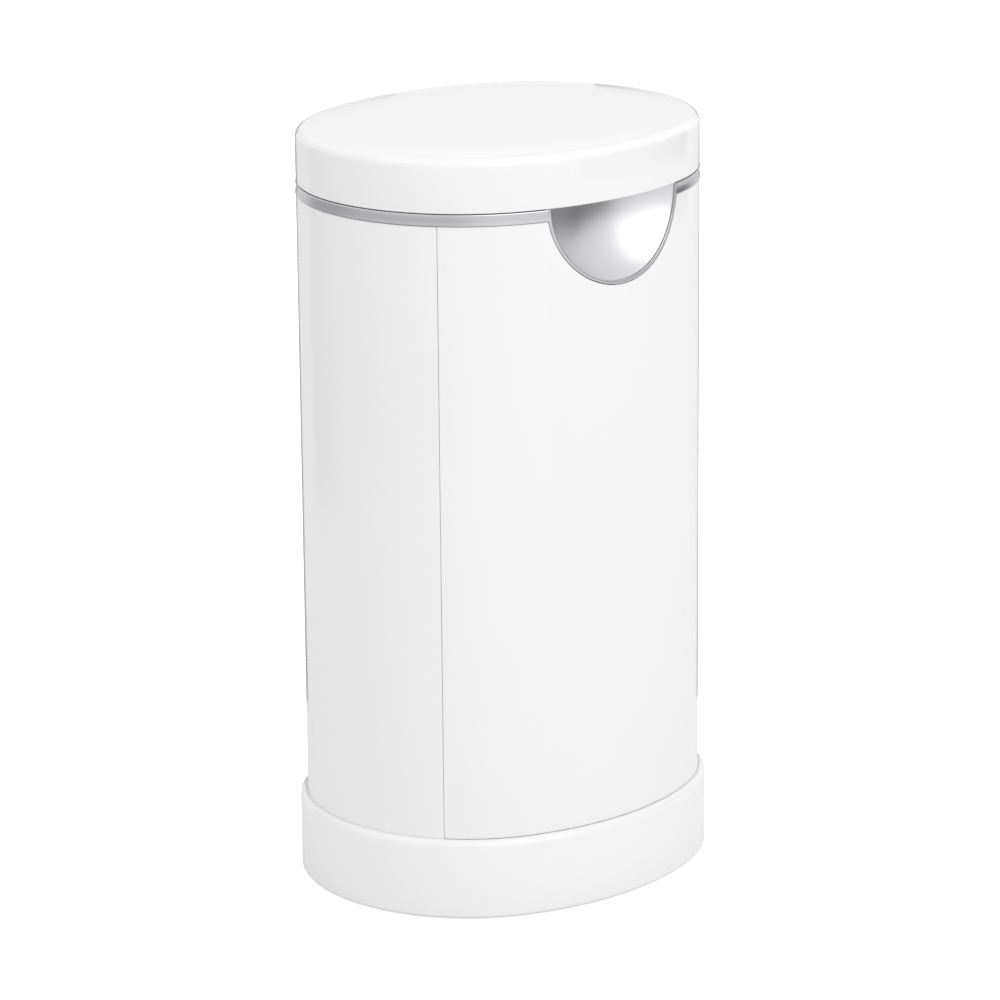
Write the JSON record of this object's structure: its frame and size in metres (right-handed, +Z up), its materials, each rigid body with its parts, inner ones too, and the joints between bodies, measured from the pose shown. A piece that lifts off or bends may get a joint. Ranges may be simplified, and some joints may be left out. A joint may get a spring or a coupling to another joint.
{
  "type": "nappy bin",
  "caption": "Tall oval nappy bin with a hinged lid, front door, silver trim with a finger scoop, sprung chute flaps and a refill cassette",
  "frame": {"origin": "centre of the footprint on the floor", "axes": "+Z up, front with the door and finger scoop faces -Y, +X to the right when seen from the front"},
  "size_m": [0.354, 0.298, 0.6225],
  "materials": {
    "white_shell": "glossy moulded white plastic",
    "white_inner": "satin white inner moulding",
    "grey_plastic": "satin grey moulding",
    "mint_plastic": "pale mint moulding",
    "silver_trim": "satin silver trim",
    "silver_scoop": "satin silver bowl",
    "screw_steel": "zinc-plated steel",
    "pin_steel": "bright drawn steel",
    "magnet_steel": "nickel-plated steel",
    "rubber": "matt soft rubber",
    "lip_rubber": "soft grey rubber",
    "seal_foam": "closed-cell foam strip",
    "puck_block": "pressed scented block",
    "film": "pleated plastic film"
  },
  "bodies": {
    "body": {"base_plinth": "white_shell", "base_cover": "grey_plastic", "base_screws": "screw_steel", "rubber_feet": "rubber", "rear_shell": "white_shell", "shell_screws": "screw_steel", "door_frame": "white_inner", "door_seal": "seal_foam", "magnet_housing": "white_inner", "catch_magnet": "magnet_steel", "door_pin_lower": "pin_steel", "door_pin_upper": "pin_steel", "grip_cup": "white_inner", "top_collar": "white_inner", "collar_screws": "screw_steel", "trim_ring": "silver_trim", "finger_scoop": "silver_scoop", "flap_frame": "grey_plastic", "frame_screws": "screw_steel", "flap_pin_left": "pin_steel", "flap_pin_right": "pin_steel", "flap_spring_left": "pin_steel", "flap_spring_right": "pin_steel", "film_cutter": "mint_plastic", "cutter_blade": "magnet_steel", "lid_hinge_pin": "pin_steel"},
    "door": {"front_door": "white_shell", "strike_plate": "magnet_steel"},
    "lid": {"lid_shell": "white_shell", "lid_liner": "white_inner", "lid_seal": "rubber", "lid_bumpers": "rubber", "lid_screws": "screw_steel", "scent_puck": "puck_block"},
    "puck_cover": {"puck_cover": "grey_plastic"},
    "cassette": {"refill_cassette": "mint_plastic", "cassette_cap": "mint_plastic", "film_pack": "film"},
    "flap_left": {"flap_left": "white_inner", "flap_lip_left": "lip_rubber"},
    "flap_right": {"flap_right": "white_inner", "flap_lip_right": "lip_rubber"}
  },
  "joints": [
    {"name": "lid_hinge", "type": "hinge", "parent": "body", "child": "lid", "pos_m": [0, 0.1442, 0.575], "axis": [-1, 0, 0], "range_deg": [0, 100]},
    {"name": "door_hinge", "type": "hinge", "parent": "body", "child": "door", "pos_m": [-0.13867, -0.08459, 0.066], "axis": [0, 0, -1], "range_deg": [0, 100]},
    {"name": "flap_left_hinge", "type": "hinge", "parent": "body", "child": "flap_left", "pos_m": [-0.066, 0, 0.5004], "axis": [0, 1, 0], "range_deg": [0, 75], "stiffness_Nm_per_rad": 0.05, "springref_deg": -40.11},
    {"name": "flap_right_hinge", "type": "hinge", "parent": "body", "child": "flap_right", "pos_m": [0.066, 0, 0.5004], "axis": [0, -1, 0], "range_deg": [0, 75], "stiffness_Nm_per_rad": 0.05, "springref_deg": -40.11},
    {"name": "cassette_turn", "type": "hinge", "parent": "body", "child": "cassette", "pos_m": [0, 0, 0.54], "axis": [0, 0, 1], "continuous": true},
    {"name": "puck_cover_turn", "type": "hinge", "parent": "lid", "child": "puck_cover", "pos_m": [0, 0, 0.582], "axis": [0, 0, 1], "range_deg": [0, 60]}
  ]
}
